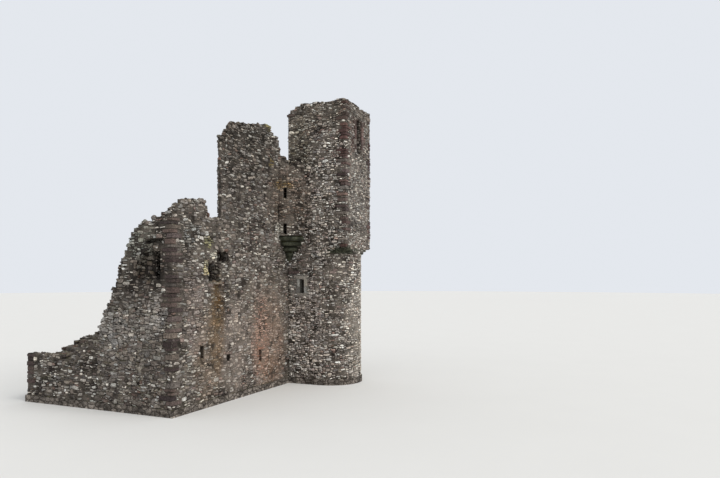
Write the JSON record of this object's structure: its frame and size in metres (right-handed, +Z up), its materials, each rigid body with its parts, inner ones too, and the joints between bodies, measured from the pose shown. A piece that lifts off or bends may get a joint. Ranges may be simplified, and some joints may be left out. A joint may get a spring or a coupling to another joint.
{
  "type": "ruined tower house",
  "caption": "Ruined rubble-stone tower house: a roofless vaulted block with broken walls and a round stair tower corbelled out to a square caphouse.",
  "frame": {"origin": "middle of the footprint's box at the level of the lowest ground, under the footings", "axes": "+X east along the south wall, +Y north, +Z up"},
  "size_m": [12.46, 11.8598, 14.9],
  "materials": {
    "rubble": "weathered grey-brown rubble with deep joints",
    "footing_rubble": "darker boulders of the footing course",
    "vault_rubble": "rough vaulting with old lime mortar",
    "dressed_grey": "dressed grey sandstone, weathered",
    "dressed_red": "dressed dark red sandstone, weathered",
    "corbel_stone": "dark damp corbel stone with moss"
  },
  "bodies": {
    "root": {"long_wall_footings": "footing_rubble", "gable_footings": "footing_rubble", "stair_footing": "footing_rubble", "south_basement_piers": "rubble", "south_slit_sills": "rubble", "south_basement_heads": "rubble", "south_west_corner": "rubble", "south_window_sill": "rubble", "south_window_head": "rubble", "south_hall_wall": "rubble", "south_east_pier": "rubble", "south_upper_wall": "rubble", "west_gable_basement": "rubble", "west_gable_hall": "rubble", "west_gable_stump": "rubble", "north_wall_stump": "rubble", "north_basement_piers": "rubble", "north_basement_slit": "rubble", "north_hall_piers": "rubble", "north_hall_window": "rubble", "east_basement_piers": "rubble", "east_basement_slit": "rubble", "east_hall_piers": "rubble", "east_hall_window": "rubble", "east_upper_gable": "rubble", "stair_north_piers": "rubble", "stair_door_infill": "rubble", "stair_west_side": "rubble", "stair_east_side": "rubble", "stair_round_west": "rubble", "stair_round_east": "rubble", "caphouse_west_wall": "rubble", "caphouse_east_wall": "rubble", "caphouse_north_wall": "rubble", "caphouse_south_wall": "rubble", "caphouse_window_head": "rubble", "caphouse_floor": "rubble", "vault_east_bay": "vault_rubble", "vault_middle_bay": "vault_rubble", "vault_haunches": "vault_rubble", "stair_window_surround": "dressed_grey", "caphouse_window_piers": "dressed_red", "corner_corbels": "corbel_stone", "angle_corbel": "corbel_stone", "angle_turret": "corbel_stone"}
  },
  "joints": []
}
